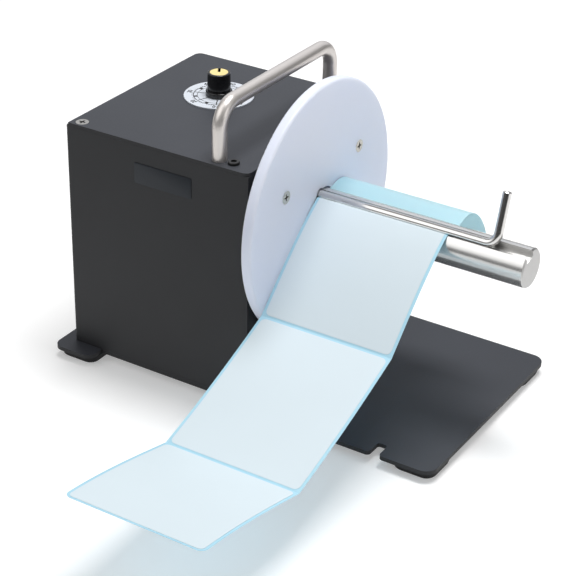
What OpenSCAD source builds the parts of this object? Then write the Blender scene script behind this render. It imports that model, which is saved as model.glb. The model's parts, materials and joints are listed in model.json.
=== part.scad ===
// Label rewinder: a motor box that turns a grooved spindle with a guide disc.
// A loose rod clamps the end of a label web in the groove. Millimetres, Z up, table at Z = 0.
// X runs along the spindle, Y runs to the back of the machine.

/* [Base plate] */
// Thickness of the base plate
plate_t = 3; // [2:0.5:6]
// Reach of the plate past the right side of the housing
plate_reach = 145.5; // [120:0.5:180]
// Reach of the plate behind the housing
plate_back = 12; // [8:0.5:30]
// Lip of the plate in front of the housing line, on the spindle side
plate_lip = 6.5; // [2:0.5:12]
// Corner radius on the spindle side
plate_corner_r = 9; // [4:0.5:16]
// How far the left ears stand out sideways
ear_side = 9; // [4:0.5:14]
// How far the front ear stands out forwards
ear_front = 13.5; // [6:0.5:18]
// Length of each side of an ear
ear_len = 33; // [24:0.5:45]
// Corner radius of an ear
ear_corner_r = 7; // [3:0.5:10]
// Width of the notch in the front edge
notch_w = 7; // [5:0.1:10]
// Depth of the notch
notch_deep = 13; // [8:0.5:25]
// Middle of the notch from the right edge of the plate
notch_from_right = 42.5; // [38:0.5:70]
// Corner radius at the inner end of the notch
notch_r = 1.8; // [0.5:0.1:2.2]
// Corner radius at the mouth of the notch
notch_mouth_r = 3; // [1:0.5:5]

/* [Feet] */
// Side of a foot where it meets the plate
foot_w = 33; // [26:0.5:40]
// Corner radius of a foot
foot_r = 9; // [6:0.5:11]
// Height of a foot
foot_h = 6; // [4:0.5:12]
// How much a foot narrows towards the table
foot_taper = 1.5; // [0.5:0.5:3]
// Middle of a foot from the left or right edge of the plate
foot_inset = 17; // [14:0.5:24]
// Middle of a foot from the front or back edge of the plate
foot_set_back = 19; // [14:0.5:26]
// Diameter of the moulded dimple under a foot
foot_dimple_d = 10; // [5:0.5:14]
// Depth of the dimple
foot_dimple_deep = 2.5; // [1:0.5:3.5]

/* [Housing] */
// Width of the housing along the spindle
housing_w = 147; // [140:0.5:180]
// Depth of the housing
housing_d = 153; // [146:0.5:190]
// Height of the housing above the base plate, with its top plate
housing_h = 170; // [160:0.5:210]
// Thickness of the folded sheet
sheet_t = 1.5; // [1:0.1:2.5]
// Outside bend radius of the folded sheet
bend_r = 2.5; // [1.5:0.5:6]
// Width of the turned-in flanges
flange_w = 14; // [11:0.5:18]
// Thickness of the right side plate
side_t = 3; // [2:0.5:5]
// Width of the side plate's top flange, under the handle
side_top_w = 38; // [34:0.5:46]
// Width of the side plate's bottom flange
side_foot_w = 18; // [14:0.5:24]
// Thickness of the top plate
top_t = 2.5; // [1.5:0.5:4]
// Inset of the top plate from the left wall
top_inset = 2.5; // [0:0.5:4]
// Corner radius of the top plate
top_corner_r = 5; // [2:0.5:10]

/* [Spindle] */
// Height of the spindle axis above the base plate
axis_h = 119; // [110.5:0.5:130.5]
// Spindle axis in front of the housing's middle
axis_fore = 0.5; // [-3:0.5:3]
// Diameter of the spindle
spindle_d = 27; // [24:0.5:32]
// Length of the spindle in front of the disc
spindle_len = 155; // [140:0.5:190]
// Chamfer at the end of the spindle
spindle_edge = 1; // [0.5:0.1:2]
// Groove floor from the spindle axis
groove_floor = 8.5; // [7.5:0.1:9.5]
// Tilt of the groove above the front horizontal
groove_angle = 68; // [55:1:85]
// Rise of the web slit from the groove to the back of the spindle
slit_tilt = 12; // [6:1:16]
// Length of the slit past each edge of the web
slit_over = 1; // [0.5:0.1:3]
// Diameter of the journal in the bearings
journal_d = 15; // [12:0.5:17]
// Length of the journal behind the hub flange
journal_len = 46; // [44:0.5:50]

/* [Guide disc] */
// Diameter of the disc
disc_d = 178.5; // [150:0.5:200]
// Thickness of the disc
disc_t = 8; // [6:0.1:10]
// Rounding of the disc's rim
disc_round = 1.8; // [0.5:0.1:2.4]
// Diameter of the ring of disc screws
disc_screw_ring = 108; // [70:1:118]
// Diameter of the hub flange behind the disc
hub_d = 128; // [124:1:140]
// Thickness of the hub flange
hub_t = 2.2; // [1.9:0.1:4]
// Running gap between hub flange and housing
run_gap = 0.8; // [0.5:0.1:3]
// Gap between the disc and the spindle
disc_bore_gap = 1.2; // [0.3:0.1:2]

/* [Clamp rod] */
// Diameter of the rod
rod_d = 6; // [5:0.5:7]
// Length of the arm from the rod's axis
rod_arm = 35.5; // [28:0.5:50]
// Bend radius of the rod's axis
rod_bend_r = 8; // [6:0.5:12]
// Arm from the end of the spindle
rod_arm_back = 23.5; // [16:0.5:28]
// Lean of the arm to the back
rod_lean = 17; // [0:1:30]

/* [Carry handle] */
// Diameter of the bar
handle_d = 10; // [8:0.5:12]
// Axis of the bar above the top plate
handle_rise = 36.5; // [30:0.5:60]
// Bend radius of the bar's axis
handle_bend_r = 15; // [11:0.5:20]
// Feet from the right side of the housing
handle_from_right = 27.5; // [26:0.5:30]
// Feet from the front and back of the housing
handle_from_front = 8.5; // [8:0.5:11]

/* [Dial and knob] */
// Dial from the left side of the housing
dial_from_left = 60.5; // [50:0.5:70]
// Dial from the front of the housing
dial_from_front = 94.5; // [80:0.5:105]
// Diameter of the dial plate
dial_d = 49; // [40:0.5:60]
// Thickness of the dial plate
dial_t = 0.8; // [0.5:0.1:1.5]
// Diameter of the knob's skirt
knob_skirt_d = 18.6; // [18:0.2:24]
// Height of the knob's skirt
knob_skirt_h = 3.4; // [2.8:0.1:5.4]
// Diameter of the knob at its top
knob_d = 16; // [14.8:0.2:17]
// Height of the knob
knob_h = 16.5; // [13:0.5:23]
// Diameter of the knob's cap
cap_d = 12.6; // [11:0.2:13.6]
// Depth of the cap in the knob
cap_t = 1.6; // [1:0.1:2.5]
// Width of the pointer slot in the cap
pointer_w = 1.9; // [1:0.1:3]
// Turn of the pointer from the back, to the left
pointer_turn = 31; // [-120:1:120]
// Diameter of the potentiometer's shaft
pot_shaft_d = 6; // [5:0.1:6.4]

/* [Label web] */
// Width of the liner
web_w = 98; // [60:1:120]
// Thickness of the liner, thicker than real so that it stays a solid
liner_t = 0.4; // [0.3:0.05:0.5]
// Thickness of a label
label_t = 0.25; // [0.15:0.05:0.4]
// Liner left bare along each side of the labels
label_margin = 2; // [1:0.5:5]
// Liner left bare between two labels
label_gap = 3; // [2:0.5:6]
// Corner radius of a label
label_r = 3.5; // [1.5:0.5:6]
// Corner radius at the ends of the liner
liner_r = 5; // [2:0.5:8]
// Gap between the web and the disc
web_gap = 0.5; // [0.3:0.1:4]

/* [Drive] */
// Outer diameter of a bearing
bearing_od = 32; // [28:0.5:35]
// Width of a bearing
bearing_w = 9; // [7:0.5:11]
// Length of the bearing housing
bearing_house_len = 28; // [26:0.5:29]
// Wall of the bearing housing
bearing_house_wall = 7; // [5:0.5:9]
// Diameter of the coupling
coupling_d = 28; // [24:0.5:32]
// Length of the coupling
coupling_len = 25; // [22:0.5:28]
// Grip of the coupling on each shaft
coupling_grip = 12; // [9:0.5:12]
// Diameter of the gearbox output shaft
out_shaft_d = 8; // [6:0.5:10]
// Diameter of the gearbox
gearbox_d = 42; // [38:0.5:46]
// Length of the gearbox
gearbox_len = 22; // [18:0.5:28]
// Diameter of the motor
motor_d = 37; // [32:0.5:38]
// Length of the motor
motor_len = 28; // [22:0.5:34]
// Thickness of the gearbox bracket
bracket_t = 3; // [2:0.5:4]
// Width of the gearbox bracket
bracket_w = 50; // [48:0.5:56]

/* [Back wall and board] */
// Middle of the switch from the left side
switch_from_left = 36; // [28:0.5:48]
// Middle of the switch and inlet above the base plate
socket_h = 52; // [46:0.5:70]
// Middle of the inlet from the left side
inlet_from_left = 72; // [66:0.5:90]
// Length of the control board
board_l = 66; // [50:0.5:76]
// Width of the control board
board_w = 26; // [22:0.5:27]
// Height of the board's standoffs
standoff_h = 8; // [5:0.5:12]

/* [Fasteners] */
// Diameter of the sheet screws
screw_d = 4; // [3:0.5:4.5]
// Head diameter of the countersunk screws
screw_head_d = 9; // [8:0.1:9.6]
// Diameter of the cap screws
cap_screw_d = 5; // [4:0.5:5]
// Head diameter of the cap screws
cap_head_d = 7.8; // [7.2:0.1:9]
// Head height of the cap screws
cap_head_h = 2; // [1.5:0.1:5]

/* [Clearances] */
// Radial gap of turning and sliding fits
run_fit = 0.05; // [0.02:0.01:0.09]
// Radial gap of a screw in its tapped hole
tap_fit = 0.05; // [0.02:0.01:0.1]
// Gap of a screw in a through hole
hole_gap = 0.2; // [0.1:0.05:0.4]
// Gap between the liner and the metal on either side of it
liner_room = 0.35; // [0.3:0.05:0.5]
// Gap between fixed sheets that meet
sheet_gap = 0.2; // [0.1:0.05:0.3]

/* [Hidden] */
$fn = 64;
plate_top = foot_h + plate_t;
plate_d = housing_d + plate_back;
plate_right = housing_w + plate_reach;
lip_start = housing_w + 4;
wall_h = housing_h - top_t;
roof_z = plate_top + housing_h;
roof_low = roof_z - top_t;
axis_y = housing_d / 2 - axis_fore;
axis_z = plate_top + axis_h;
hub_x = housing_w + run_gap;
disc_x = hub_x + hub_t;
disc_front = disc_x + disc_t;
spindle_end = disc_front + spindle_len;
spindle_r = spindle_d / 2;
web_x = disc_front + web_gap;
rod_room = liner_t + 2 * liner_room;
groove_w = rod_d + 2 * rod_room;
rod_n = groove_floor + rod_room + rod_d / 2;
rod_arm_x = spindle_end - rod_arm_back;
groove_out = [-cos(groove_angle), sin(groove_angle)];
groove_side = [sin(groove_angle), cos(groove_angle)];
rod_y = axis_y + rod_n * groove_out[0];
rod_z = axis_z + rod_n * groove_out[1];
side_in = housing_w - side_t;
house_x = side_in - bearing_house_len;
journal_end = hub_x - journal_len;
coupling_x = journal_end + coupling_grip - coupling_len;
bracket_x = coupling_x - 11;
gearbox_x = bracket_x - gearbox_len;
motor_x = gearbox_x - motor_len;
handle_x = housing_w - handle_from_right;
handle_ys = [handle_from_front, housing_d - handle_from_front];
handle_top = roof_z + handle_rise;
cap_screw_x = handle_x + handle_d / 2 + cap_head_d / 2 + 2;
cap_screw_ys = handle_ys;
corner_screw = [10, 6];
dial_top = roof_z + dial_t;
knob_z = dial_top + 0.5;
knob_edge_r = 0.7;
knob_taper = 0.25;
knob_flare_h = 1.8;
pot_nut_h = 2;
pot_thread_d = 7;
foot_spots = [
  [foot_inset - ear_side, foot_set_back - ear_front],
  [foot_inset - ear_side, plate_d - foot_set_back],
  [plate_right - foot_inset, foot_set_back - plate_lip],
  [plate_right - foot_inset, plate_d - foot_set_back]];
foot_edge = 1;
flange_mid = sheet_t + flange_w / 2;
shell_screws = [
  [34, flange_mid],
  [96, flange_mid],
  [34, housing_d - flange_mid],
  [96, housing_d - flange_mid]];
side_screws = [
  [side_in - side_foot_w / 2, 38],
  [side_in - side_foot_w / 2, housing_d - 38]];
bracket_foot = 34;
bracket_screws_at = [
  [bracket_x - bracket_foot + 6, axis_y - bracket_w / 2 + 9],
  [bracket_x - bracket_foot + 6, axis_y + bracket_w / 2 - 9]];
board_t = 1.6;
board_gap = 1;
standoff_d = 6;
standoff_screw_d = 3;
standoff_in = 5;
board_x = sheet_t + flange_w + board_gap + standoff_d / 2 - standoff_in;
board_y = axis_y + bracket_w / 2 + 2.5 * board_gap;
standoff_spots = [
  for (i = [standoff_in, board_l - standoff_in]) for (j = [standoff_in, board_w - standoff_in])
    [board_x + i, board_y + j]];
block = [22, 8, 10];
block_at = [12, 2];
block_pitch = 5.5;
block_hole_d = 3.6;
block_hole_deep = 4;
sink = [13.6, 14, 14];
sink_at = [40, 6];
sink_fin = 1.6;
sink_base = 3;
can_d = 10;
can_h = 13;
can_at = [18, 17];
can_pitch = 13;
house_flange_t = 6;
house_flange_w = 13;
house_head_d = 7;
house_head_h = 4;
handle_bite = 10;
switch_w = 12;
switch_l = 19;
switch_deep = 18;
switch_rim = 1.5;
rocker_r = 7;
rocker_w = 9;
rocker_tilt = 10;
inlet_d = 11;
inlet_z = plate_top + socket_h;

// Route of the web, from the spindle axis as back and up, with its slope below the horizontal
// on either side of each fold.
web_fold_1 = [-76.5, -47.9];
web_fold_2 = [-185, -87.1];
web_end = [-285.5, -67.1];
web_slope_1 = [44, 23];
web_slope_2 = [16, -14];
web_slope_end = -6;
tail_1 = [20.5, 13.5];
tail_2 = [49.8, -12.7];
tail_end = [50, -41.2];
tail_slope_1 = 4;
tail_slope_2 = 66;
tail_slope_end = 104;

// Middle of the part, so that it stands centred on the origin.
mid_x = (spindle_end - ear_side) / 2;
mid_y = (axis_y + web_end[0] + plate_d) / 2;

charcoal = [0.23, 0.24, 0.26];
slate = [0.33, 0.34, 0.36];
steel = [0.75, 0.75, 0.74];
zinc = [0.66, 0.67, 0.68];
black = [0.05, 0.05, 0.05];
rubber = [0.08, 0.08, 0.08];
pale = [0.80, 0.83, 0.90];
sky = [0.66, 0.86, 0.94];
paper = [0.87, 0.93, 0.96];
yellow = [0.93, 0.83, 0.50];
green = [0.10, 0.33, 0.18];

// Moves the drawing frame, whose corner is at the housing, to the middle of the part.
module place() {
  translate([-mid_x, -mid_y, 0]) children();
}

// Turns what is drawn along Z so that it lies along X on the spindle axis.
module on_axis(x) {
  translate([x, axis_y, axis_z]) rotate([0, 90, 0]) children();
}

// A flat plate with round corners, from one corner point to the other.
module slab(x0, y0, x1, y1, r, z, h) {
  translate([x0 + r, y0, z]) cube([x1 - x0 - 2 * r, y1 - y0, h]);
  translate([x0, y0 + r, z]) cube([x1 - x0, y1 - y0 - 2 * r, h]);
  for (x = [x0 + r, x1 - r]) for (y = [y0 + r, y1 - r])
    translate([x, y, z]) cylinder(h = h, r = r);
}

// A countersunk screw with a cross recess. Its head is flush with Z = 0 and it points down.
module flat_screw(d, head_d, len) {
  head_h = (head_d - d) / 2;
  difference() {
    union() {
      translate([0, 0, -head_h]) cylinder(h = head_h, d1 = d, d2 = head_d);
      translate([0, 0, -len]) cylinder(h = len - head_h / 2, d = d);
    }
    for (a = [0, 90]) rotate([0, 0, a])
      translate([-head_d * 0.28, -head_d * 0.07, -head_h * 0.7])
        cube([head_d * 0.56, head_d * 0.14, head_h]);
  }
}

// The hole that such a screw seats in.
module flat_screw_hole(d, head_d, len) {
  head_h = (head_d - d) / 2;
  translate([0, 0, -head_h - hole_gap]) cylinder(h = head_h + hole_gap, d1 = d, d2 = head_d + 2 * hole_gap);
  translate([0, 0, -0.01]) cylinder(h = 1, d = head_d + 2 * hole_gap);
  translate([0, 0, -len]) cylinder(h = len, d = d + 2 * hole_gap);
}

// A socket cap screw. The underside of its head is at Z = 0 and it points down.
module cap_screw(d, head_d, head_h, len) {
  difference() {
    union() {
      cylinder(h = head_h - 0.4, d = head_d);
      translate([0, 0, head_h - 0.4]) cylinder(h = 0.4, d1 = head_d, d2 = head_d - 0.8);
      translate([0, 0, -len]) cylinder(h = len + 0.1, d = d);
    }
    translate([0, 0, head_h * 0.45]) cylinder(h = head_h, d = head_d * 0.55, $fn = 6);
  }
}

// What the notch takes out of the plate: a slot with round inner corners and a round mouth.
module cable_notch(h) {
  translate([-notch_w / 2, -1, 0]) cube([notch_w, notch_deep - notch_r + 1, h]);
  translate([-notch_w / 2 + notch_r, 0, 0]) cube([notch_w - 2 * notch_r, notch_deep, h]);
  for (s = [-1, 1]) {
    translate([s * (notch_w / 2 - notch_r), notch_deep - notch_r, 0]) cylinder(h = h, r = notch_r);
    difference() {
      translate([s * (notch_w + notch_mouth_r) / 2 - notch_mouth_r / 2, -1, 0])
        cube([notch_mouth_r, notch_mouth_r + 1, h]);
      translate([s * (notch_w / 2 + notch_mouth_r), notch_mouth_r, -1])
        cylinder(h = h + 2, r = notch_mouth_r);
    }
  }
}

// Base plate with ears at the left corners, the front lip and the notch.
module base_plate() {
  color(charcoal) difference() {
    union() {
      translate([0, 0, foot_h]) cube([lip_start + plate_corner_r + 1, plate_d, plate_t]);
      slab(lip_start, -plate_lip, plate_right, plate_d, plate_corner_r, foot_h, plate_t);
      slab(-ear_side, -ear_front, ear_len - ear_side, ear_len - ear_front, ear_corner_r, foot_h, plate_t);
      slab(-ear_side, plate_d - ear_len, ear_len - ear_side, plate_d, ear_corner_r, foot_h, plate_t);
    }
    translate([plate_right - notch_from_right, -plate_lip, foot_h - 1]) cable_notch(plate_t + 2);
    for (p = concat(shell_screws, side_screws, bracket_screws_at))
      translate([p[0], p[1], foot_h]) rotate([180, 0, 0])
        flat_screw_hole(screw_d, screw_head_d, plate_t + 1);
    for (p = standoff_spots)
      translate([p[0], p[1], foot_h - 1]) cylinder(h = plate_t + 2, d = standoff_screw_d + 2 * tap_fit);
  }
}

// Four tapered rubber pads with round corners and a moulded dimple underneath.
module rubber_feet() {
  color(rubber) for (p = foot_spots) translate([p[0], p[1], 0]) difference() {
    union() {
      for (x = [-1, 1]) for (y = [-1, 1])
        translate([x * (foot_w / 2 - foot_r), y * (foot_w / 2 - foot_r), 0]) foot_corner();
      for (a = [0, 90]) rotate([90, 0, a]) linear_extrude(height = foot_w - 2 * foot_r, center = true)
        foot_profile();
    }
    translate([0, 0, -1]) cylinder(h = foot_dimple_deep + 1, d = foot_dimple_d);
  }
}

// One round corner of a pad.
module foot_corner() {
  r = foot_r - foot_taper;
  cylinder(h = foot_edge, r1 = r - foot_edge, r2 = r);
  translate([0, 0, foot_edge]) cylinder(h = foot_h - foot_edge, r1 = r, r2 = foot_r);
}

// Upright section through the middle of a pad.
module foot_profile() {
  w = foot_w / 2;
  polygon([[foot_taper + foot_edge - w, 0], [w - foot_taper - foot_edge, 0], [w - foot_taper, foot_edge],
    [w, foot_h], [-w, foot_h], [foot_taper - w, foot_edge]]);
}

// Folded sheet that makes the front, left and back walls, with flanges turned in.
module housing_shell() {
  top_flange_x = side_in - side_top_w - 3;
  color(charcoal) difference() {
    union() {
      difference() {
        union() {
          translate([bend_r, 0, plate_top]) cube([housing_w - bend_r, housing_d, wall_h]);
          translate([0, bend_r, plate_top]) cube([housing_w, housing_d - 2 * bend_r, wall_h]);
          for (y = [bend_r, housing_d - bend_r]) translate([bend_r, y, plate_top])
            cylinder(h = wall_h, r = bend_r);
        }
        translate([sheet_t, sheet_t, plate_top - 1]) cube([housing_w, housing_d - 2 * sheet_t, wall_h + 2]);
      }
      for (y = [sheet_t - 0.5, housing_d - sheet_t - flange_w]) {
        translate([flange_w + 6, y, plate_top])
          cube([side_in - side_foot_w - flange_w - 10, flange_w + 0.5, sheet_t]);
        translate([4, y, roof_low - sheet_t]) cube([top_flange_x - 4, flange_w + 0.5, sheet_t]);
      }
      for (z = [plate_top, roof_low - sheet_t])
        translate([sheet_t - 0.5, flange_w + 6, z])
          cube([flange_w + 0.5, housing_d - 2 * flange_w - 12, sheet_t]);
    }
    for (p = shell_screws)
      translate([p[0], p[1], plate_top - 1]) cylinder(h = sheet_t + 2, d = screw_d + 2 * tap_fit);
    translate([corner_screw[0], corner_screw[1], roof_low - sheet_t - 1])
      cylinder(h = sheet_t + 2, d = screw_d + 2 * tap_fit);
    translate([switch_from_left, housing_d, inlet_z])
      cube([switch_w + 2 * hole_gap, 4 * sheet_t, switch_l + 2 * hole_gap], center = true);
    translate([inlet_from_left, housing_d + 1, inlet_z]) rotate([90, 0, 0])
      cylinder(h = sheet_t + 2, d = inlet_d + 2 * hole_gap);
  }
}

// Right side plate that carries the bearing housing, with a foot and a top flange turned in.
module side_plate() {
  y0 = sheet_t + sheet_gap;
  y1 = housing_d - sheet_t - sheet_gap;
  color(charcoal) difference() {
    union() {
      translate([side_in, y0, plate_top]) cube([side_t, y1 - y0, wall_h]);
      translate([side_in - side_top_w, y0, roof_low - side_t]) cube([side_top_w + 1, y1 - y0, side_t]);
      translate([side_in - side_foot_w, flange_w + 8, plate_top])
        cube([side_foot_w + 1, housing_d - 2 * flange_w - 16, side_t]);
    }
    on_axis(side_in - 1) cylinder(h = side_t + 2, d = journal_d + 4);
    house_screw_spots() cylinder(h = 3 * side_t, d = screw_d + 2 * tap_fit, center = true);
    for (p = side_screws)
      translate([p[0], p[1], plate_top - 1]) cylinder(h = side_t + 2, d = screw_d + 2 * tap_fit);
    for (y = handle_ys)
      translate([handle_x, y, roof_low - side_t - 1])
        cylinder(h = side_t + 2, d = cap_screw_d + 2 * hole_gap);
    for (y = cap_screw_ys)
      translate([cap_screw_x, y, roof_low - side_t - 1])
        cylinder(h = side_t + 2, d = cap_screw_d + 2 * tap_fit);
  }
}

// Top plate: two round corners, one square corner over the front left fold.
module top_plate() {
  color(slate) difference() {
    union() {
      slab(top_inset, 0, housing_w, housing_d, top_corner_r, roof_low, top_t);
      translate([top_inset, 0, roof_low]) cube([2 * top_corner_r, 2 * top_corner_r, top_t]);
    }
    translate([corner_screw[0], corner_screw[1], roof_z]) flat_screw_hole(screw_d, screw_head_d, top_t + 1);
    for (y = cap_screw_ys)
      translate([cap_screw_x, y, roof_low - 1]) cylinder(h = top_t + 2, d = cap_screw_d + 2 * hole_gap);
    for (y = handle_ys)
      translate([handle_x, y, roof_low - 1]) cylinder(h = top_t + 2, d = cap_screw_d + 2 * hole_gap);
    translate([dial_from_left, dial_from_front, roof_low - 1])
      cylinder(h = top_t + 2, d = pot_thread_d + 2 * hole_gap);
  }
}

// Countersunk screws from below that hold the housing to the base plate.
module housing_screws() {
  color(zinc) {
    for (p = shell_screws)
      translate([p[0], p[1], foot_h]) rotate([180, 0, 0])
        flat_screw(screw_d, screw_head_d, plate_t + sheet_t + 2);
    for (p = side_screws)
      translate([p[0], p[1], foot_h]) rotate([180, 0, 0])
        flat_screw(screw_d, screw_head_d, plate_t + side_t + 2);
  }
}

// Silver countersunk screw at the front left corner of the top plate.
module corner_screw_silver() {
  color(zinc) translate([corner_screw[0], corner_screw[1], roof_z])
    flat_screw(screw_d, screw_head_d, top_t + sheet_t + 4);
}

// Black cap screws beside the feet of the handle.
module top_cap_screws() {
  color(black) for (y = cap_screw_ys)
    translate([cap_screw_x, y, roof_z]) cap_screw(cap_screw_d, cap_head_d, cap_head_h, top_t + side_t + 2);
}

// Handle: a round bar with two bends, tapped at both feet.
module carry_handle() {
  leg = handle_rise - handle_bend_r;
  color(steel) difference() {
    union() {
      for (y = handle_ys) translate([handle_x, y, roof_z]) cylinder(h = leg, d = handle_d);
      translate([handle_x, handle_ys[0] + handle_bend_r, handle_top]) rotate([-90, 0, 0])
        cylinder(h = handle_ys[1] - handle_ys[0] - 2 * handle_bend_r, d = handle_d);
      translate([handle_x, handle_ys[1] - handle_bend_r, roof_z + leg]) rotate([90, 0, 90])
        rotate_extrude(angle = 90) translate([handle_bend_r, 0]) circle(d = handle_d);
      translate([handle_x, handle_ys[0] + handle_bend_r, roof_z + leg]) rotate([90, 0, 90])
        rotate([0, 0, 90]) rotate_extrude(angle = 90) translate([handle_bend_r, 0]) circle(d = handle_d);
    }
    for (y = handle_ys) translate([handle_x, y, roof_z - 1])
      cylinder(h = handle_bite + 3, d = cap_screw_d + 2 * tap_fit);
  }
}

// Cap screws under the top flange that hold the handle.
module handle_screws() {
  color(zinc) for (y = handle_ys) translate([handle_x, y, roof_low - side_t]) rotate([180, 0, 0])
    cap_screw(cap_screw_d, cap_head_d, cap_head_h, side_t + top_t + handle_bite);
}

// Round dial plate that lies on the top plate.
module dial_plate() {
  color(pale) translate([dial_from_left, dial_from_front, roof_z]) difference() {
    cylinder(h = dial_t, d = dial_d);
    translate([0, 0, -1]) cylinder(h = dial_t + 2, d = pot_thread_d + 2 * hole_gap);
  }
}

// Potentiometer under the top plate, with its threaded neck through the dial.
module pot_body() {
  color(zinc) translate([dial_from_left, dial_from_front, roof_low]) difference() {
    union() {
      translate([0, 0, -10]) cylinder(h = 10, d = 17);
      translate([-5, -14, -8]) cube([10, 10, 1.6]);
      cylinder(h = top_t + dial_t + pot_nut_h + 0.4, d = pot_thread_d);
    }
    translate([0, 0, -6]) cylinder(h = top_t + dial_t + 20, d = pot_shaft_d + 2 * run_fit);
  }
}

// Flat nut that clamps the potentiometer and the dial.
module pot_nut() {
  color(zinc) translate([dial_from_left, dial_from_front, dial_top]) difference() {
    cylinder(h = pot_nut_h, d = 11.5, $fn = 6);
    translate([0, 0, -1]) cylinder(h = pot_nut_h + 2, d = pot_thread_d + 2 * tap_fit);
  }
}

// Shaft of the potentiometer, which turns with the knob.
module pot_shaft() {
  color(zinc) translate([dial_from_left, dial_from_front, roof_low - 5.7])
    cylinder(h = knob_z + knob_h - cap_t - 4 - (roof_low - 5.7), d = pot_shaft_d);
}

// Knob: a skirt, a flare up to a slightly tapered grip with a rounded top, and a seat for the cap.
module speed_knob() {
  top_r = knob_d / 2;
  skirt_r = knob_skirt_d / 2;
  seat_z = knob_h - cap_t;
  color(black) translate([dial_from_left, dial_from_front, knob_z]) difference() {
    rotate_extrude() difference() {
      union() {
        square([skirt_r, knob_skirt_h - knob_edge_r]);
        translate([skirt_r - knob_edge_r, knob_skirt_h - knob_edge_r]) circle(r = knob_edge_r);
        polygon([[0, 0], [skirt_r - knob_edge_r, 0], [skirt_r - knob_edge_r, knob_skirt_h],
          [top_r + knob_taper, knob_skirt_h + knob_flare_h], [top_r, knob_h - knob_edge_r],
          [0, knob_h - knob_edge_r]]);
        translate([top_r - knob_edge_r, knob_h - knob_edge_r]) circle(r = knob_edge_r);
        square([top_r - knob_edge_r, knob_h]);
      }
      translate([-5, -5]) square([5, knob_h + 10]);
    }
    translate([0, 0, seat_z]) cylinder(h = cap_t + 1, d = cap_d + 2 * tap_fit);
    translate([0, 0, -1]) cylinder(h = pot_nut_h + 1.6, d = 13);
    translate([0, 0, -1]) cylinder(h = seat_z - 4 + 1 + 0.2, d = pot_shaft_d + 2 * tap_fit);
  }
}

// Pale yellow cap with a pointer slot from its middle to its edge.
module knob_cap() {
  color(yellow) translate([dial_from_left, dial_from_front, knob_z + knob_h - cap_t]) difference() {
    cylinder(h = cap_t, d = cap_d);
    rotate([0, 0, pointer_turn]) translate([-pointer_w / 2, 0, -1]) cube([pointer_w, cap_d, cap_t + 2]);
  }
}

// Switch: a moulded body behind the back wall with a rim outside.
module switch_body() {
  color(black) translate([switch_from_left, housing_d, inlet_z]) difference() {
    union() {
      translate([-switch_w / 2, -switch_deep, -switch_l / 2]) cube([switch_w, switch_deep + 0.1, switch_l]);
      translate([-switch_w / 2 - 1.5, 0, -switch_l / 2 - 1.5])
        cube([switch_w + 3, switch_rim, switch_l + 3]);
    }
    translate([0, -1, 0]) rotate([0, 90, 0])
      cylinder(h = rocker_w + 0.6, r = rocker_r + 0.3, center = true);
    for (s = [-1, 1]) translate([-0.4, -switch_deep - 5, s * 5 - 2.4]) cube([0.8, 7, 4.8]);
  }
}

// Rocker of the switch: a drum with two faces, which turns about X and rests tilted at off.
module switch_rocker() {
  color(black) translate([switch_from_left, housing_d - 1, inlet_z]) rotate([rocker_tilt, 0, 0])
    difference() {
    rotate([0, 90, 0]) cylinder(h = rocker_w, r = rocker_r, center = true);
    for (s = [-1, 1]) rotate([s * 12, 0, 0]) translate([-rocker_w, 4, -rocker_r])
      cube([2 * rocker_w, 2 * rocker_r, 2 * rocker_r]);
  }
}

// Round power inlet through the back wall, with its contact pin.
module power_inlet() {
  color(black) translate([inlet_from_left, housing_d, inlet_z]) rotate([-90, 0, 0]) {
    difference() {
      union() {
        cylinder(h = 2, d = inlet_d + 3);
        translate([0, 0, -14]) cylinder(h = 14.1, d = inlet_d);
      }
      translate([0, 0, -9]) cylinder(h = 12, d = 5.6);
    }
    translate([0, 0, -9.5]) cylinder(h = 9, d = 2.1);
  }
}

// Nut of the inlet on the inside of the back wall.
module inlet_nut() {
  color(zinc) translate([inlet_from_left, housing_d - sheet_t, inlet_z]) rotate([90, 0, 0]) difference() {
    cylinder(h = 2.5, d = inlet_d + 6, $fn = 6);
    translate([0, 0, -1]) cylinder(h = 5, d = inlet_d + 2 * tap_fit);
  }
}

// Places a screw along X at each hole of the bearing housing.
module house_screw_spots() {
  ring = bearing_od / 2 + bearing_house_wall + house_flange_w / 2;
  for (a = [45 : 90 : 315]) translate([side_in, axis_y + ring * cos(a), axis_z + ring * sin(a)])
    rotate([0, 90, 0]) children();
}

// Flanged housing for the two bearings, on the inside of the side plate.
module bearing_housing() {
  tube_d = bearing_od + 2 * bearing_house_wall;
  color(zinc) difference() {
    union() {
      on_axis(side_in - house_flange_t) cylinder(h = house_flange_t, d = tube_d + 2 * house_flange_w);
      on_axis(house_x) cylinder(h = bearing_house_len, d = tube_d);
    }
    on_axis(house_x - 1) cylinder(h = bearing_house_len + 2, d = bearing_od - 4);
    for (x = [house_x - 1, side_in - bearing_w])
      on_axis(x) cylinder(h = bearing_w + 1, d = bearing_od + 2 * tap_fit);
    house_screw_spots() cylinder(h = 4 * house_flange_t, d = screw_d + 2 * hole_gap, center = true);
  }
}

// A shielded ball bearing with a recess in each face.
module bearing() {
  rotate_extrude() difference() {
    translate([journal_d / 2 + run_fit, 0]) square([(bearing_od - journal_d) / 2 - run_fit, bearing_w]);
    for (z = [-0.1, bearing_w - 0.7])
      translate([journal_d / 2 + 2.4, z]) square([(bearing_od - journal_d) / 2 - 5, 0.8]);
  }
}

module front_bearing() {
  color(steel) on_axis(side_in - bearing_w) bearing();
}

module rear_bearing() {
  color(steel) on_axis(house_x) bearing();
}

// Cap screws that hold the bearing housing to the side plate.
module bearing_screws() {
  color(zinc) house_screw_spots() translate([0, 0, -house_flange_t]) rotate([180, 0, 0])
    cap_screw(screw_d, house_head_d, house_head_h, house_flange_t + side_t - 0.4);
}

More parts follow.
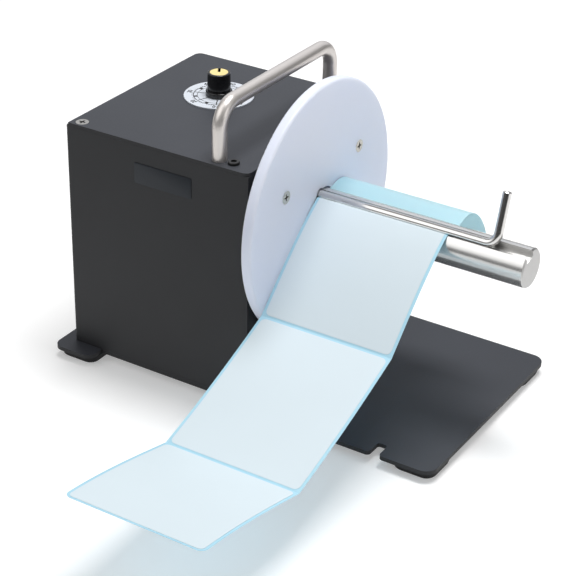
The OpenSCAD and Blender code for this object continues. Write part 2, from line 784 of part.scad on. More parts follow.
// Spindle with its journal, the groove for the rod and the slit that lets the web out at the back.
module spindle_shaft() {
  len = spindle_end - hub_x;
  color(steel) difference() {
    on_axis(hub_x) {
      cylinder(h = len - spindle_edge, d = spindle_d);
      translate([0, 0, len - spindle_edge])
        cylinder(h = spindle_edge, d1 = spindle_d, d2 = spindle_d - 2 * spindle_edge);
      translate([0, 0, -journal_len]) cylinder(h = journal_len + 1, d = journal_d);
    }
    translate([hub_x - 1, axis_y, axis_z]) rotate([90 - groove_angle, 0, 0])
      translate([0, -groove_w / 2, groove_floor]) cube([len + 2, groove_w, spindle_d]);
    translate([web_x - slit_over, axis_y + slit_start[0], axis_z + slit_start[1]]) rotate([slit_tilt, 0, 0])
      translate([0, -0.5, -liner_mid]) cube([web_w + 2 * slit_over, spindle_d, 2 * liner_mid]);
  }
}

// Hub flange behind the disc, tapped for the disc screws and bored for the rod's inner end.
module hub_flange() {
  color(zinc) difference() {
    on_axis(hub_x) difference() {
      cylinder(h = hub_t, d = hub_d);
      translate([0, 0, -1]) cylinder(h = hub_t + 2, d = spindle_d + 2 * tap_fit);
    }
    translate([hub_x - 1, rod_y, rod_z]) rotate([0, 90, 0])
      cylinder(h = hub_t + 2, d = rod_d + 2 * run_fit);
    disc_screw_spots() cylinder(h = 4 * disc_t, d = screw_d + 2 * tap_fit, center = true);
  }
}

// Places a screw at each hole of the disc, pointing back.
module disc_screw_spots() {
  for (a = [31, 151, 271])
    translate([disc_front, axis_y + disc_screw_ring / 2 * cos(a), axis_z + disc_screw_ring / 2 * sin(a)])
      rotate([0, 90, 0]) children();
}

// Guide disc with a rounded rim, a clear bore and a hole for the rod.
module winding_disc() {
  r = disc_d / 2;
  color(pale) difference() {
    on_axis(disc_x) rotate_extrude() difference() {
      union() {
        square([r - disc_round, disc_t]);
        translate([0, disc_round]) square([r, disc_t - 2 * disc_round]);
        for (z = [disc_round, disc_t - disc_round]) translate([r - disc_round, z]) circle(r = disc_round);
      }
      translate([-5, -5]) square([5 + spindle_d / 2 + disc_bore_gap, disc_t + 10]);
    }
    translate([disc_x - 1, rod_y, rod_z]) rotate([0, 90, 0])
      cylinder(h = disc_t + 2, d = rod_d + 2 * disc_bore_gap);
    disc_screw_spots() flat_screw_hole(screw_d, screw_head_d, disc_t + 1);
  }
}

// Countersunk screws that hold the disc to the hub flange.
module disc_screws() {
  color(zinc) disc_screw_spots() flat_screw(screw_d, screw_head_d, disc_t + hub_t - 0.2);
}

// L-shaped clamp rod in the groove, with its arm at the free end.
module clamp_rod() {
  x0 = hub_x + 0.2;
  color(steel) translate([0, rod_y, rod_z]) rotate([-rod_lean, 0, 0]) {
    translate([x0, 0, 0]) rotate([0, 90, 0]) cylinder(h = 0.6, d1 = rod_d - 1.2, d2 = rod_d);
    translate([x0 + 0.6, 0, 0]) rotate([0, 90, 0])
      cylinder(h = rod_arm_x - rod_bend_r - x0 - 0.6, d = rod_d);
    translate([rod_arm_x - rod_bend_r, 0, rod_bend_r]) rotate([90, 0, 0]) rotate([0, 0, -90])
      rotate_extrude(angle = 90) translate([rod_bend_r, 0]) circle(d = rod_d);
    translate([rod_arm_x, 0, rod_bend_r]) cylinder(h = rod_arm - rod_bend_r - 0.6, d = rod_d);
    translate([rod_arm_x, 0, rod_arm - 0.6]) cylinder(h = 0.6, d1 = rod_d, d2 = rod_d - 1.2);
  }
}

// Rigid coupling between the journal and the gearbox output shaft.
module shaft_coupling() {
  color(zinc) on_axis(coupling_x) difference() {
    cylinder(h = coupling_len, d = coupling_d);
    translate([0, 0, -1]) cylinder(h = coupling_len + 2, d = out_shaft_d + 2 * tap_fit);
    translate([0, 0, coupling_len - coupling_grip]) cylinder(h = coupling_len, d = journal_d + 2 * tap_fit);
    for (z = [coupling_grip / 2, coupling_len - coupling_grip / 2])
      translate([0, 0, z]) rotate([0, -90, 0]) cylinder(h = coupling_d, d = screw_d + 2 * tap_fit);
  }
}

// Set screws of the coupling.
module coupling_screws() {
  color(black) on_axis(coupling_x) {
    translate([0, 0, coupling_grip / 2]) rotate([0, -90, 0])
      set_screw(out_shaft_d / 2 + 0.1, coupling_d / 2 - 0.6);
    translate([0, 0, coupling_len - coupling_grip / 2]) rotate([0, -90, 0])
      set_screw(journal_d / 2 + 0.1, coupling_d / 2 - 0.6);
  }
}

// A socket set screw from one radius to another.
module set_screw(r0, r1) {
  translate([0, 0, r0]) difference() {
    cylinder(h = r1 - r0, d = screw_d);
    translate([0, 0, r1 - r0 - 1.4]) cylinder(h = 2, d = screw_d * 0.5, $fn = 6);
  }
}

// Output shaft of the gearbox, which turns with the spindle.
module output_shaft() {
  color(steel) on_axis(gearbox_x + gearbox_len - 6)
    cylinder(h = coupling_x + coupling_grip - 2 - (gearbox_x + gearbox_len - 6), d = out_shaft_d);
}

// Gearbox can with a front boss that centres it in the bracket.
module gearbox() {
  color(zinc) difference() {
    on_axis(gearbox_x) {
      cylinder(h = gearbox_len, d = gearbox_d);
      cylinder(h = gearbox_len + bracket_t + 3, d = out_shaft_d + 8);
    }
    on_axis(gearbox_x + gearbox_len - 6.5) cylinder(h = 20, d = out_shaft_d + 2 * run_fit);
    gearbox_screw_spots() cylinder(h = 12, d = 3 + 2 * tap_fit, center = true);
  }
}

// Motor can with its rear bearing boss and two terminals.
module gear_motor() {
  color(zinc) on_axis(motor_x) {
    cylinder(h = motor_len, d = motor_d);
    translate([0, 0, -3]) cylinder(h = 3.1, d = 13);
    for (s = [-1, 1]) translate([-0.4, s * 11 - 1.5, -6]) cube([0.8, 3, 6.1]);
  }
}

// Places a screw along X at each hole of the gearbox face.
module gearbox_screw_spots() {
  ring = gearbox_d / 2 - 5.5;
  for (a = [45 : 90 : 315]) translate([bracket_x, axis_y + ring * cos(a), axis_z + ring * sin(a)])
    rotate([0, 90, 0]) children();
}

// Angle bracket that stands on the base plate and carries the gearbox.
module gearbox_bracket() {
  h = axis_h + gearbox_d / 2 + 4;
  color(zinc) difference() {
    union() {
      translate([bracket_x, axis_y - bracket_w / 2, plate_top]) cube([bracket_t, bracket_w, h]);
      translate([bracket_x - bracket_foot, axis_y - bracket_w / 2, plate_top])
        cube([bracket_foot + 1, bracket_w, bracket_t]);
      for (y = [axis_y - bracket_w / 2, axis_y + bracket_w / 2 - bracket_t])
        translate([bracket_x + 0.5, y, plate_top + 0.5]) rotate([90, 0, 0]) mirror([1, 0, 0])
          translate([0, 0, -bracket_t]) linear_extrude(height = bracket_t)
            polygon([[0, 0], [24, 0], [24, 6], [6, 60], [0, 60]]);
    }
    on_axis(bracket_x - 1) cylinder(h = bracket_t + 2, d = out_shaft_d + 8 + 2 * hole_gap);
    gearbox_screw_spots() cylinder(h = 4 * bracket_t, d = 3 + 2 * hole_gap, center = true);
    for (p = bracket_screws_at)
      translate([p[0], p[1], plate_top - 1]) cylinder(h = bracket_t + 2, d = screw_d + 2 * tap_fit);
  }
}

// Screws that hold the gearbox to the bracket.
module gearbox_screws() {
  color(zinc) gearbox_screw_spots() translate([0, 0, bracket_t]) cap_screw(3, 5.5, 3, bracket_t + 5);
}

// Countersunk screws from below that hold the bracket.
module bracket_screws() {
  color(zinc) for (p = bracket_screws_at)
    translate([p[0], p[1], foot_h]) rotate([180, 0, 0])
      flat_screw(screw_d, screw_head_d, plate_t + bracket_t + 2);
}

// Speed control board.
module control_board() {
  color(green) difference() {
    translate([board_x, board_y, plate_top + standoff_h]) cube([board_l, board_w, board_t]);
    for (p = standoff_spots)
      translate([p[0], p[1], plate_top])
        cylinder(h = standoff_h + board_t + 1, d = standoff_screw_d + 2 * hole_gap);
  }
}

// Terminal block, heat sink and capacitors on the board.
module board_parts() {
  color(black) translate([board_x, board_y, plate_top + standoff_h + board_t]) {
    translate([block_at[0], block_at[1], 0]) difference() {
      cube(block);
      for (i = [0 : 3])
        translate([block_pitch * (i + 0.5), block[1] / 2, block[2] - block_hole_deep])
          cylinder(h = block_hole_deep + 1, d = block_hole_d);
    }
    translate([sink_at[0], sink_at[1], 0]) {
      cube([sink[0], sink[1], sink_base]);
      for (i = [0 : 3]) translate([i * (sink[0] - sink_fin) / 3, 0, 0]) cube([sink_fin, sink[1], sink[2]]);
    }
    for (i = [0, 1]) translate([can_at[0] + i * can_pitch, can_at[1], 0]) cylinder(h = can_h, d = can_d);
  }
}

// Standoffs with a screw end in the base plate and a snap end in the board.
module board_standoffs() {
  color(zinc) for (p = standoff_spots) translate([p[0], p[1], plate_top]) {
    cylinder(h = standoff_h, d = standoff_d, $fn = 6);
    translate([0, 0, -plate_t + 0.4]) cylinder(h = plate_t, d = standoff_screw_d);
    translate([0, 0, standoff_h - 0.1]) cylinder(h = board_t + 1.6, d = standoff_screw_d);
  }
}

// One point of a cubic curve between two points with given slopes.
function slope_dir(a, s) = [s * cos(a), -sin(a)];
function curve(p, q, u, v, t) =
  let (k = norm(q - p) / 3, a = p + k * u, b = q - k * v, m = 1 - t)
  m * m * m * p + 3 * m * m * t * a + 3 * m * t * t * b + t * t * t * q;

// The web's middle line, as back and up from the spindle axis.
liner_mid = liner_room + liner_t / 2;
lip_half = asin(groove_w / spindle_d);
lip_n = spindle_r * cos(lip_half);
function groove_point(n, t) = n * groove_out + t * groove_side;
function lip_point(side, a) =
  groove_point(lip_n + liner_mid * cos(a), side * groove_w / 2 + liner_mid * sin(a));
web_start = lip_point(-1, -lip_half);
web_slope_0 = 90 - groove_angle + lip_half;
front_legs = [
  [web_start, web_fold_1, web_slope_0, web_slope_1[0]],
  [web_fold_1, web_fold_2, web_slope_1[1], web_slope_2[0]],
  [web_fold_2, web_end, web_slope_2[1], web_slope_end]];
function front_point(i, t) =
  let (l = front_legs[i])
  curve(l[0], l[1], slope_dir(l[2], -1), slope_dir(l[3], -1), t);
floor_n = groove_floor + liner_mid;
floor_t = groove_w / 2 - liner_mid;
fold_r = 0.7;
slit_start = groove_point(floor_n, floor_t);
function slit_point(t) = slit_start + t * [cos(slit_tilt), sin(slit_tilt)];
tail_start = slit_point(spindle_r * 0.62);
tail_legs = [
  [tail_start, tail_1, -slit_tilt, tail_slope_1],
  [tail_1, tail_2, tail_slope_1, tail_slope_2],
  [tail_2, tail_end, tail_slope_2, tail_slope_end]];
function tail_point(i, t) =
  let (l = tail_legs[i])
  curve(l[0], l[1], slope_dir(l[2], 1), slope_dir(l[3], 1), t);
groove_line = [
  for (a = [-lip_half : 27 : 85]) lip_point(-1, a),
  for (a = [0 : 30 : 90])
    groove_point(floor_n + fold_r - fold_r * sin(a), -floor_t + fold_r - fold_r * cos(a)),
  groove_point(floor_n, floor_t - 1),
  slit_point(0.5),
  slit_point(spindle_r * 0.3)];
front_line = [for (i = [2 : -1 : 0]) for (t = [16 : -1 : 1]) front_point(i, t / 16)];
tail_line = [tail_start, for (i = [0 : 2]) for (t = [1 : 10]) tail_point(i, t / 10)];
liner_line = concat(front_line, groove_line, tail_line);

// Turns a line of points into a closed strip of the given thickness.
function unit(v) = v / norm(v);
function side_of(line, i) =
  let (a = line[max(i - 1, 0)], b = line[min(i + 1, len(line) - 1)], d = unit(b - a))
  [-d[1], d[0]];
function strip(line, low, high) = concat(
  [for (i = [0 : len(line) - 1]) line[i] + low * side_of(line, i)],
  [for (i = [len(line) - 1 : -1 : 0]) line[i] + high * side_of(line, i)]);

// Draws a strip across the web, from one edge to the other.
module across_web(x, w, points) {
  translate([x, axis_y, axis_z]) rotate([90, 0, 90]) linear_extrude(height = w) polygon(points);
}

// Takes the two corners off a strip end at a point, where the strip leaves along a direction.
module round_end(x, w, at, along, r) {
  translate([x, axis_y, axis_z]) rotate([90, 0, 90]) translate([at[0], at[1], 0])
    rotate([0, 0, atan2(along[1], along[0])]) {
      corner_cut(0, -1, r, r);
      corner_cut(w, -r, -r, r);
    }
}

// What lies outside the round corner at one edge, with the strip end at X = 0.
module corner_cut(edge, from, mid, r) {
  translate([0, 0, edge]) difference() {
    translate([-r, -2 * liner_t, from]) cube([r + 1, 4 * liner_t, r + 1]);
    translate([-r, -3 * liner_t, mid]) rotate([-90, 0, 0]) cylinder(h = 6 * liner_t, r = r);
  }
}

// Liner: it comes up to the groove, dips under the rod, leaves through the slit and ends in a loose tail.
module label_liner() {
  color(sky) difference() {
    across_web(web_x, web_w, strip(liner_line, -liner_t / 2, liner_t / 2));
    round_end(web_x, web_w, web_end, slope_dir(web_slope_end, -1), liner_r);
    round_end(web_x, web_w, tail_end, slope_dir(tail_slope_end, 1), liner_r);
  }
}

// Labels on the upper side of the liner.
module labels() {
  low = liner_t / 2 + 0.05;
  x = web_x + label_margin;
  w = web_w - 2 * label_margin;
  color(paper) for (i = [0 : 2]) {
    span = norm(front_legs[i][1] - front_legs[i][0]);
    t0 = label_gap / 2 / span;
    line = [for (k = [16 : -1 : 0]) front_point(i, t0 + (1 - 2 * t0) * k / 16)];
    difference() {
      across_web(x, w, strip(line, low, low + label_t));
      round_end(x, w, line[0], line[0] - line[1], label_r);
      round_end(x, w, line[16], line[16] - line[15], label_r);
    }
  }
}

place() base_plate();
place() rubber_feet();
place() housing_shell();
place() side_plate();
place() top_plate();
place() housing_screws();
place() corner_screw_silver();
place() top_cap_screws();
place() carry_handle();
place() handle_screws();
place() dial_plate();
place() pot_body();
place() pot_nut();
place() pot_shaft();
place() speed_knob();
place() knob_cap();
place() switch_body();
place() switch_rocker();
place() power_inlet();
place() inlet_nut();
place() bearing_housing();
place() front_bearing();
place() rear_bearing();
place() bearing_screws();
place() spindle_shaft();
place() hub_flange();
place() winding_disc();
place() disc_screws();
place() clamp_rod();
place() shaft_coupling();
place() coupling_screws();
place() output_shaft();
place() gearbox();
place() gear_motor();
place() gearbox_bracket();
place() gearbox_screws();
place() bracket_screws();
place() control_board();
place() board_parts();
place() board_standoffs();
place() label_liner();
place() labels();
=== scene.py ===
import json
import math

import bpy
from mathutils import Matrix, Vector

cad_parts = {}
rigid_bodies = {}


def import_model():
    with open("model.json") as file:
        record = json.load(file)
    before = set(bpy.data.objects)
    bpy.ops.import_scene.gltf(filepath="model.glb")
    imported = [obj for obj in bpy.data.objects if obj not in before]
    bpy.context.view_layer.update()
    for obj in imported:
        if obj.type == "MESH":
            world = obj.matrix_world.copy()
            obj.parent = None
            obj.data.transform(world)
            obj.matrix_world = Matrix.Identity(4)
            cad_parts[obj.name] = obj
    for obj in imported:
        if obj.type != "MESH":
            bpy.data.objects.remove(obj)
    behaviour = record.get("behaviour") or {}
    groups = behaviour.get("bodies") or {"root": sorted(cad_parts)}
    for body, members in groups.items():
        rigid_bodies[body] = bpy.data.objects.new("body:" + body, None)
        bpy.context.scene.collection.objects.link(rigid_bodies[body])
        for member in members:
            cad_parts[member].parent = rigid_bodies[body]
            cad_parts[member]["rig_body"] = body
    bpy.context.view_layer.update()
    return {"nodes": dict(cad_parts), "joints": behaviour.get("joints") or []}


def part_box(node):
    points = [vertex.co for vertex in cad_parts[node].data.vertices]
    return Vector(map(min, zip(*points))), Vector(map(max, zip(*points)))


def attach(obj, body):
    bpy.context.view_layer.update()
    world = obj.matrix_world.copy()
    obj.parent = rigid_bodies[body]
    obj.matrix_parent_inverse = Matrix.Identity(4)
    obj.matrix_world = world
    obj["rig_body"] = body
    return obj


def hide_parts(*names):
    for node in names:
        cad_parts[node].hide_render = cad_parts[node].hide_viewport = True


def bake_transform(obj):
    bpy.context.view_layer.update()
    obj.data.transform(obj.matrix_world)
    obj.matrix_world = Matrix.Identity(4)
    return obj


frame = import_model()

bpy.ops.object.select_all(action="DESELECT")

# ---------------------------------------------------------------- camera
# A long lens on a tripod, in front of the machine on the spindle's side, looking down at
# it and tipped a little round its own axis.
cam_azimuth, cam_elevation, cam_roll = (math.radians(a) for a in (31.73, 29.11, 1.14))
cam_back = Vector((
    math.sin(cam_azimuth) * math.cos(cam_elevation),
    -math.cos(cam_azimuth) * math.cos(cam_elevation),
    math.sin(cam_elevation)))
cam_right = Vector((math.cos(cam_azimuth), math.sin(cam_azimuth), 0))
cam_up = cam_back.cross(cam_right)
rolled_right = cam_right * math.cos(cam_roll) + cam_up * math.sin(cam_roll)
rolled_up = cam_up * math.cos(cam_roll) - cam_right * math.sin(cam_roll)
cam_place, cam_lens, cam_sensor = (0.5619, -0.84395, 0.6739), 113.08, 36
camera_data = bpy.data.cameras.new("camera")
camera_data.lens = cam_lens
camera_data.sensor_width = cam_sensor
camera = bpy.data.objects.new("camera", camera_data)
bpy.context.collection.objects.link(camera)
cam_turn = Matrix((rolled_right, rolled_up, cam_back)).transposed().to_4x4()
camera.matrix_world = Matrix.Translation(cam_place) @ cam_turn
scene = bpy.context.scene
scene.camera = camera
scene.view_settings.view_transform = "Standard"

# ---------------------------------------------------------------- studio
# White acrylic product table that glows a little: a painted glow that lifts the shadows on it.
# A soft box is above and a weaker one at the right. A round light in front and a reflector
# behind show in the glossy surfaces; the room below them is dark.
MM = 0.001
table_size, table_mid_y, table_drop = 5, 1.2, 0.2
mix_a, mix_b, mix_out = 6, 7, 2  # colour sockets of a mix node
bpy.ops.mesh.primitive_plane_add(size=table_size, location=(0, table_mid_y, -table_drop * MM))
floor = bpy.context.object
floor.name = "table_top"
table_white = bpy.data.materials.new("table_white")
table_white.use_nodes = True
table_shader = table_white.node_tree.nodes["Principled BSDF"]
table_shader.inputs["Base Color"].default_value = (0.78, 0.78, 0.78, 1)
table_shader.inputs["Roughness"].default_value = 0.9
table_shader.inputs["Specular IOR Level"].default_value = 0.1
# Painted light: the table's own emission lifts every shadow that falls on it.
table_shader.inputs["Emission Color"].default_value = (1, 1, 1, 1)
table_shader.inputs["Emission Strength"].default_value = 0.33
floor.data.materials.append(table_white)


def soft_box(name, place, target, size, glow):
    """An area light of a given brightness that faces a point."""
    lamp = bpy.data.lights.new(name, "AREA")
    lamp.shape = "RECTANGLE"
    lamp.size, lamp.size_y = size
    lamp.energy = glow * math.pi * size[0] * size[1]
    box = bpy.data.objects.new(name, lamp)
    bpy.context.collection.objects.link(box)
    box.location = place
    aim = Vector(target) - Vector(place)
    box.rotation_mode = "QUATERNION"
    box.rotation_quaternion = aim.to_track_quat("-Z", "Y")
    box.visible_camera = False
    return box


soft_box("soft_box_top", (0.08, 0.33, 1.75), (0.05, 0.05, 0), (0.9, 0.5), 17)
soft_box("soft_box_right", (1.7, 0.0, 0.7), (0, 0, 0.12), (1.0, 1.1), 1.3)
reflector = soft_box("reflector_back", (-0.8, 1.9, 1.15), (0, 0.1, 0.1), (3.6, 1.6), 0.65)
reflector.visible_diffuse = False
reflector.data.color = (0.96, 0.99, 1.06)

room = bpy.data.worlds.new("room")
scene.world = room
room.use_nodes = True
room_new, room_link = room.node_tree.nodes.new, room.node_tree.links.new
room_way, room_split = room_new("ShaderNodeTexCoord"), room_new("ShaderNodeSeparateXYZ")
room_ramp = room_new("ShaderNodeValToRGB")
room_link(room_way.outputs["Generated"], room_split.inputs[0])
room_link(room_split.outputs["Z"], room_ramp.inputs["Fac"])
room_stops = room_ramp.color_ramp.elements
room_stops[0].position, room_stops[0].color = 0.0, (0.05, 0.05, 0.05, 1)
room_stops[1].position, room_stops[1].color = 0.7, (0.3, 0.3, 0.3, 1)
room_stops.new(0.3).color = (0.1, 0.1, 0.1, 1)
front_way, front_edge, front_core, front_glow = (-0.46, -0.56, 0.69), 42, 14, 1.35
front_near, front_fade = room_new("ShaderNodeVectorMath"), room_new("ShaderNodeMapRange")
front_near.operation = "DOT_PRODUCT"
front_near.inputs[1].default_value = Vector(front_way).normalized()
front_fade.interpolation_type = "SMOOTHSTEP"
front_fade.inputs["From Min"].default_value = math.cos(math.radians(front_edge))
front_fade.inputs["From Max"].default_value = math.cos(math.radians(front_core))
front_fade.inputs["To Max"].default_value = front_glow
room_link(room_way.outputs["Generated"], front_near.inputs[0])
room_link(front_near.outputs["Value"], front_fade.inputs["Value"])
room_sum, room_seen = room_new("ShaderNodeMix"), room_new("ShaderNodeMix")
room_rays, front_share = room_new("ShaderNodeLightPath"), room_new("ShaderNodeMapRange")
front_share.inputs["To Min"].default_value = 1
front_share.inputs["To Max"].default_value = 0.1
room_link(room_rays.outputs["Is Diffuse Ray"], front_share.inputs["Value"])
room_sum.data_type = room_seen.data_type = "RGBA"
room_sum.blend_type = "ADD"
room_link(front_share.outputs["Result"], room_sum.inputs[0])
room_link(room_ramp.outputs["Color"], room_sum.inputs[mix_a])
room_link(front_fade.outputs["Result"], room_sum.inputs[mix_b])
room_link(room_rays.outputs["Is Camera Ray"], room_seen.inputs[0])
room_link(room_sum.outputs[mix_out], room_seen.inputs[mix_a])
room_seen.inputs[mix_b].default_value = (1, 1, 1, 1)
room_link(room_seen.outputs[mix_out], room.node_tree.nodes["Background"].inputs["Color"])

# ---------------------------------------------------------------- base plate and housing
# Sheet steel under one satin powder coat, in two copies: a lighter slate one, with painted sheen,
# on the upward faces of the flat base plate and the lid, and a darker charcoal one, with painted
# shade, on a shell bent round three sides, a thicker side plate and the other faces of the base
# plate and lid. Their cut edges are slightly eased.
nodes = frame["nodes"]


def grain_group():
    """Shader group that gives a fine grain and broad cloudy patches over the piece."""
    group = bpy.data.node_groups.new("surface_grain", "ShaderNodeTree")
    for name, kind in (("Scale", "Float"), ("Stretch", "Vector"), ("Patch", "Float")):
        group.interface.new_socket(name, in_out="INPUT", socket_type="NodeSocket" + kind)
    for name in ("Grain", "Cloud"):
        group.interface.new_socket(name, in_out="OUTPUT", socket_type="NodeSocketFloat")
    new, link = group.nodes.new, group.links.new
    given, out = new("NodeGroupInput"), new("NodeGroupOutput")
    where = new("ShaderNodeTexCoord")
    stretched = new("ShaderNodeMapping")
    fine, broad = new("ShaderNodeTexNoise"), new("ShaderNodeTexNoise")
    fine.inputs["Detail"].default_value = 3
    broad.inputs["Detail"].default_value = 2
    link(where.outputs["Object"], stretched.inputs["Vector"])
    link(given.outputs["Stretch"], stretched.inputs["Scale"])
    link(stretched.outputs["Vector"], fine.inputs["Vector"])
    link(given.outputs["Scale"], fine.inputs["Scale"])
    link(where.outputs["Object"], broad.inputs["Vector"])
    link(given.outputs["Patch"], broad.inputs["Scale"])
    link(fine.outputs["Fac"], out.inputs["Grain"])
    link(broad.outputs["Fac"], out.inputs["Cloud"])
    return group


surface_grain = grain_group()


def finish(name, colour, rough, metal=0.0, scale=900.0, stretch=(1, 1, 1), patch=18.0,
           bump=0.1, depth=0.05, tone=0.1, swing=0.06, **sockets):
    """A material whose colour, gloss and surface change with the grain. Depth is in millimetres."""
    made = bpy.data.materials.new(name)
    made.use_nodes = True
    tree = made.node_tree
    shader = tree.nodes["Principled BSDF"]
    grain = tree.nodes.new("ShaderNodeGroup")
    grain.node_tree = surface_grain
    grain.inputs["Scale"].default_value = scale
    grain.inputs["Stretch"].default_value = stretch
    grain.inputs["Patch"].default_value = patch
    shade = tree.nodes.new("ShaderNodeMix")
    shade.data_type = "RGBA"
    for socket, share in ((mix_a, 1 - tone), (mix_b, 1 + tone)):
        shade.inputs[socket].default_value = [min(1, c * share) for c in colour] + [1]
    tree.links.new(grain.outputs["Cloud"], shade.inputs[0])
    tree.links.new(shade.outputs[mix_out], shader.inputs["Base Color"])
    gloss = tree.nodes.new("ShaderNodeMapRange")
    gloss.inputs["To Min"].default_value = max(0.02, rough - swing)
    gloss.inputs["To Max"].default_value = min(1, rough + swing)
    tree.links.new(grain.outputs["Grain"], gloss.inputs["Value"])
    tree.links.new(gloss.outputs["Result"], shader.inputs["Roughness"])
    relief = tree.nodes.new("ShaderNodeBump")
    relief.inputs["Strength"].default_value = bump
    relief.inputs["Distance"].default_value = depth * MM
    tree.links.new(grain.outputs["Grain"], relief.inputs["Height"])
    tree.links.new(relief.outputs["Normal"], shader.inputs["Normal"])
    shader.inputs["Metallic"].default_value = metal
    for socket, value in sockets.items():
        shader.inputs[socket.replace("_", " ")].default_value = value
    return made


def wear(made, *names):
    """Gives CAD pieces a finish."""
    for name in names:
        nodes[name].material_slots[0].material = made


def take(piece):
    """Makes one object the only selected and active one."""
    bpy.ops.object.select_all(action="DESELECT")
    piece.select_set(True)
    bpy.context.view_layer.objects.active = piece


def eased(name, node, made, width):
    """A copy of a CAD piece with its sharp edges rounded over, which stands for it."""
    piece = bpy.data.objects.new(name, nodes[node].data.copy())
    bpy.context.collection.objects.link(piece)
    take(piece)
    bpy.ops.mesh.customdata_custom_splitnormals_clear()
    bpy.ops.object.mode_set(mode="EDIT")
    bpy.ops.mesh.select_all(action="SELECT")
    bpy.ops.mesh.remove_doubles(threshold=0.002 * MM)
    bpy.ops.mesh.dissolve_limited(angle_limit=math.radians(0.3))
    bpy.ops.object.mode_set(mode="OBJECT")
    bpy.ops.object.shade_smooth()
    rounding = piece.modifiers.new("eased_edges", "BEVEL")
    rounding.width = width * MM
    rounding.segments = 2
    rounding.limit_method = "ANGLE"
    rounding.angle_limit = math.radians(40)
    rounding.harden_normals = True
    bpy.ops.object.modifier_apply(modifier=rounding.name)
    piece.data.materials.clear()
    piece.data.materials.append(made)
    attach(piece, nodes[node]["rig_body"])
    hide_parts(node)
    return piece


coat_shaded_copy = finish("coat_shaded_copy", (0.0275, 0.0283, 0.0305), 0.5, scale=1500, bump=0.25,
                       depth=0.03, tone=0.12, swing=0.07, Specular_IOR_Level=0.22)
coat_lit_copy = finish("coat_lit_copy", (0.0462, 0.0494, 0.0585), 0.5, scale=1500, bump=0.25,
                    depth=0.03, tone=0.12, swing=0.07, Specular_IOR_Level=0.28)
base = eased("base_plate_coated", "base_plate", coat_lit_copy, 0.4)
shell = eased("housing_shell_coated", "housing_shell", coat_shaded_copy, 0.3)
side = eased("side_plate_coated", "side_plate", coat_shaded_copy, 0.3)
lid = eased("top_plate_coated", "top_plate", coat_lit_copy, 0.4)
# Painted light: faces of the base plate and lid that look up take the lit copy, all other faces,
# edges included, the shaded copy.
lit_copy_tilt = 0.3
for sheet_piece in (base, lid):
    sheet_piece.data.materials.append(coat_shaded_copy)
    for face in sheet_piece.data.polygons:
        face.material_index = 1 if face.normal.z < lit_copy_tilt else 0

# ---------------------------------------------------------------- badge plate
# Bare plate of thin dark film with rounded corners, punched from a sheet and stuck to the
# front of the housing.
badge_w, badge_h, badge_t, badge_r, badge_soft = 46, 15, 0.3, 1.2, 0.08
badge_from_left, badge_up = 80, 156.8
shell_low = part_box("housing_shell")[0]
badge_mid = Vector((shell_low.x + badge_from_left * MM, shell_low.y, badge_up * MM))
bpy.ops.mesh.primitive_plane_add(size=1)
badge = bpy.context.object
badge.name = "badge_plate"
badge.data.transform(Matrix.Diagonal((badge_w * MM, badge_h * MM, 1, 1)))
bpy.ops.object.mode_set(mode="EDIT")
bpy.ops.mesh.select_all(action="SELECT")
bpy.ops.mesh.bevel(offset=badge_r * MM, segments=5, affect="VERTICES")
bpy.ops.mesh.extrude_region_move(TRANSFORM_OT_translate={"value": (0, 0, badge_t * MM)})
bpy.ops.mesh.select_all(action="SELECT")
bpy.ops.mesh.normals_make_consistent(inside=False)
bpy.ops.object.mode_set(mode="OBJECT")
badge_edge = badge.modifiers.new("soft_edge", "BEVEL")
badge_edge.width = badge_soft * MM
badge_edge.segments = 2
badge_edge.limit_method = "ANGLE"
bpy.ops.object.modifier_apply(modifier=badge_edge.name)
bpy.ops.object.shade_smooth_by_angle(angle=math.radians(35))
badge.data.transform(Matrix.Translation(badge_mid) @ Matrix.Rotation(math.radians(90), 4, "X"))
badge_film = finish("badge_film", (0.011, 0.015, 0.021), 0.45, scale=900, bump=0.05,
                    depth=0.02, tone=0.06, Specular_IOR_Level=0.25)
badge.data.materials.append(badge_film)
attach(badge, "frame")

# ---------------------------------------------------------------- feet
# Four square pads of moulded black rubber with rounded corners, tapered to the table and stuck
# under the corners of the base plate.
wear(finish("foot_rubber", (0.012, 0.012, 0.0125), 0.72, scale=600, bump=0.3, depth=0.08,
            tone=0.2, Specular_IOR_Level=0.3), "rubber_feet")

# ---------------------------------------------------------------- screws
# Zinc-plated countersunk and cap screws, and two low black cap screws by the feet of the
# handle. The board's standoffs are plated in the same way.
zinc_plate = finish("zinc_plate", (0.50, 0.487, 0.455), 0.34, 1.0, scale=1400, bump=0.15,
                    depth=0.02, tone=0.1)
wear(zinc_plate, "housing_screws", "corner_screw_silver", "handle_screws", "disc_screws",
     "bearing_screws", "gearbox_screws", "bracket_screws", "board_standoffs")
black_oxide_and_gap_shade = finish("black_oxide_and_gap_shade", (0.02, 0.02, 0.021), 0.34, 0.4, scale=1200, bump=0.1,
                     depth=0.02)
wear(black_oxide_and_gap_shade, "top_cap_screws", "coupling_screws")

# ---------------------------------------------------------------- carry handle
# Ground stainless bar with two bends and fine polishing lines round the bar, held by screws
# from inside the housing.
wear(finish("ground_stainless", (0.70, 0.66, 0.63), 0.34, 0.75, scale=420, stretch=(2.2, 1, 2.2),
            bump=0.12, depth=0.02, tone=0.05, swing=0.08), "carry_handle")

